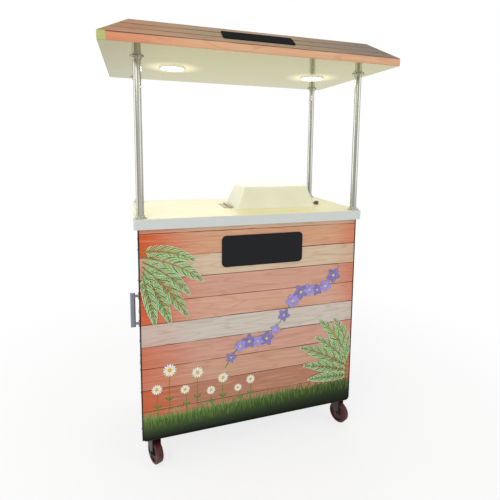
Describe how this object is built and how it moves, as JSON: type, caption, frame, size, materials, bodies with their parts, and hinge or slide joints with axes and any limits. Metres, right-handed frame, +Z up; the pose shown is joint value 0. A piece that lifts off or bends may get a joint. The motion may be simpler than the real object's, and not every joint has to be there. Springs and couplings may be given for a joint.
{
  "type": "sugarcane juice cart",
  "caption": "Wheeled juice cart: plank-print cabinet, counter, hooded electric roller mill for sugarcane, posts and lit hipped canopy, with tap, waste bin, doors and swivel casters.",
  "frame": {"origin": "on the floor, under the middle of the canopy, which sets the part's plan box", "axes": "+Z up, -Y is the customer's side with the printed front panel, +X to that customer's right"},
  "size_m": [1.18, 0.76, 1.865],
  "materials": {
    "frame_black": "satin black paint, scuffed at the edges",
    "frame_grey": "grey paint on welded tube",
    "sheet_steel": "brushed stainless sheet",
    "panel_print": "printed film on sheet, plank pattern",
    "panel_black": "black paint",
    "counter_pale": "pale brushed sheet, folded over the edge",
    "sign_black": "gloss black plate",
    "handle_grey": "satin grey",
    "post_chrome": "polished stainless tube",
    "roof_wood": "printed film on sheet, plank pattern",
    "ceiling_sheet": "glossy pale sheet",
    "lamp_white": "white enamel",
    "lamp_lens": "opal diffuser",
    "hood_cream": "cream enamel on folded sheet",
    "hinge_dark": "dark painted hinge",
    "knob_black": "black moulded plastic",
    "mill_steel": "machined steel plate",
    "roller_steel": "turned stainless",
    "gear_steel": "cut gear, oiled",
    "bush_bronze": "turned bronze",
    "drive_grey": "blue-grey machine paint",
    "bin_green": "moulded plastic",
    "switch_grey": "moulded box",
    "button_green": "moulded button",
    "button_red": "moulded button",
    "caster_zinc": "zinc-plated pressing",
    "caster_black": "black pressed fork",
    "wheel_maroon": "brown-red moulded wheel"
  },
  "bodies": {
    "cart": {"base_frame": "frame_black", "corner_uprights": "frame_black", "frame_rails": "frame_grey", "deck_sheets": "sheet_steel", "front_panel": "panel_print", "side_panels": "panel_black", "counter_top": "counter_pale", "front_sign_plate": "sign_black", "grab_handle": "handle_grey", "mains_inlet": "knob_black", "door_hinge_pins": "sheet_steel", "canopy_posts": "post_chrome", "post_flanges": "post_chrome", "roof_shell": "roof_wood", "roof_frame": "frame_grey", "ceiling_panel": "ceiling_sheet", "lamp_rims": "lamp_white", "lamp_lenses": "lamp_lens", "roof_sign_plate": "sign_black", "hood_mounts": "hinge_dark", "cheek_plates": "mill_steel", "cheek_caps": "mill_steel", "bearing_blocks": "gear_steel", "roller_bushes": "bush_bronze", "pressure_screws": "caster_zinc", "tie_bars": "caster_zinc", "trash_plate": "mill_steel", "feed_tray": "sheet_steel", "juice_tray": "sheet_steel", "strainer": "sheet_steel", "juice_tap": "post_chrome", "bagasse_chute": "sheet_steel", "motor": "drive_grey", "fan_cowl": "drive_grey", "gearbox": "drive_grey", "switch_box": "switch_grey", "caster_plates": "caster_zinc"},
    "hood": {"hood": "hood_cream", "hood_hinge_leaf": "hinge_dark"},
    "hood_catch": {"hood_catch": "knob_black"},
    "top_roller": {"top_roller": "roller_steel", "top_gear": "gear_steel"},
    "front_roller": {"front_roller": "roller_steel", "front_gear": "gear_steel"},
    "rear_roller": {"rear_roller": "roller_steel", "rear_gear": "gear_steel"},
    "door_left": {"door_left": "sheet_steel"},
    "door_right": {"door_right": "sheet_steel"},
    "tap_lever": {"tap_lever": "knob_black"},
    "waste_bin": {"waste_bin": "bin_green"},
    "start_button": {"start_button": "button_green"},
    "stop_button": {"stop_button": "button_red"},
    "fork_front_left": {"fork_front_left": "caster_black"},
    "wheel_front_left": {"wheel_front_left": "wheel_maroon"},
    "fork_front_right": {"fork_front_right": "caster_black"},
    "wheel_front_right": {"wheel_front_right": "wheel_maroon"},
    "fork_rear_left": {"fork_rear_left": "caster_black"},
    "wheel_rear_left": {"wheel_rear_left": "wheel_maroon"},
    "fork_rear_right": {"fork_rear_right": "caster_black"},
    "wheel_rear_right": {"wheel_rear_right": "wheel_maroon"}
  },
  "joints": [
    {"name": "hood_hinge", "type": "hinge", "parent": "cart", "child": "hood", "pos_m": [-0.042, 0.085, 1.1253], "axis": [0, -1, 0], "range_deg": [0, 100]},
    {"name": "hood_catch_turn", "type": "hinge", "parent": "cart", "child": "hood_catch", "pos_m": [0.425, 0.035, 1.125], "axis": [0, 0, 1], "range_deg": [0, 90]},
    {"name": "top_roller_spin", "type": "hinge", "parent": "cart", "child": "top_roller", "pos_m": [0.125, 0.099, 1.14], "axis": [1, 0, 0], "continuous": true},
    {"name": "front_roller_spin", "type": "hinge", "parent": "cart", "child": "front_roller", "pos_m": [0.125, 0.049, 1.07627], "axis": [1, 0, 0], "continuous": true},
    {"name": "rear_roller_spin", "type": "hinge", "parent": "cart", "child": "rear_roller", "pos_m": [0.125, 0.149, 1.07627], "axis": [1, 0, 0], "continuous": true},
    {"name": "door_left_hinge", "type": "hinge", "parent": "cart", "child": "door_left", "pos_m": [-0.467, 0.3518, 0.38], "axis": [0, 0, 1], "range_deg": [0, 110]},
    {"name": "door_right_hinge", "type": "hinge", "parent": "cart", "child": "door_right", "pos_m": [0.527, 0.3518, 0.38], "axis": [0, 0, -1], "range_deg": [0, 110]},
    {"name": "tap_lever_turn", "type": "hinge", "parent": "cart", "child": "tap_lever", "pos_m": [0.125, 0.251, 1.015], "axis": [0, 0, 1], "range_deg": [0, 90]},
    {"name": "waste_bin_slide", "type": "slide", "parent": "cart", "child": "waste_bin", "axis": [0, 1, 0], "range_m": [0, 0.4]},
    {"name": "start_button_press", "type": "slide", "parent": "cart", "child": "start_button", "axis": [0, -1, 0], "range_m": [0, 0.004], "stiffness_N_per_m": 400},
    {"name": "stop_button_press", "type": "slide", "parent": "cart", "child": "stop_button", "axis": [0, -1, 0], "range_m": [0, 0.004], "stiffness_N_per_m": 400},
    {"name": "fork_front_left_swivel", "type": "hinge", "parent": "cart", "child": "fork_front_left", "pos_m": [-0.432, -0.101, 0.12], "axis": [0, 0, 1], "continuous": true},
    {"name": "wheel_front_left_spin", "type": "hinge", "parent": "fork_front_left", "child": "wheel_front_left", "pos_m": [-0.41793, -0.13414, 0.05], "axis": [0.9205, 0.3907, 0], "continuous": true},
    {"name": "fork_front_right_swivel", "type": "hinge", "parent": "cart", "child": "fork_front_right", "pos_m": [0.492, -0.101, 0.12], "axis": [0, 0, 1], "continuous": true},
    {"name": "wheel_front_right_spin", "type": "hinge", "parent": "fork_front_right", "child": "wheel_front_right", "pos_m": [0.50607, -0.13414, 0.05], "axis": [0.9205, 0.3907, 0], "continuous": true},
    {"name": "fork_rear_left_swivel", "type": "hinge", "parent": "cart", "child": "fork_rear_left", "pos_m": [-0.432, 0.283, 0.12], "axis": [0, 0, 1], "continuous": true},
    {"name": "wheel_rear_left_spin", "type": "hinge", "parent": "fork_rear_left", "child": "wheel_rear_left", "pos_m": [-0.41793, 0.24986, 0.05], "axis": [0.9205, 0.3907, 0], "continuous": true},
    {"name": "fork_rear_right_swivel", "type": "hinge", "parent": "cart", "child": "fork_rear_right", "pos_m": [0.492, 0.283, 0.12], "axis": [0, 0, 1], "continuous": true},
    {"name": "wheel_rear_right_spin", "type": "hinge", "parent": "fork_rear_right", "child": "wheel_rear_right", "pos_m": [0.50607, 0.24986, 0.05], "axis": [0.9205, 0.3907, 0], "continuous": true}
  ],
  "couplings": [
    {"joint": "front_roller_spin", "follows": "top_roller_spin", "ratio": -1},
    {"joint": "rear_roller_spin", "follows": "top_roller_spin", "ratio": -1}
  ]
}
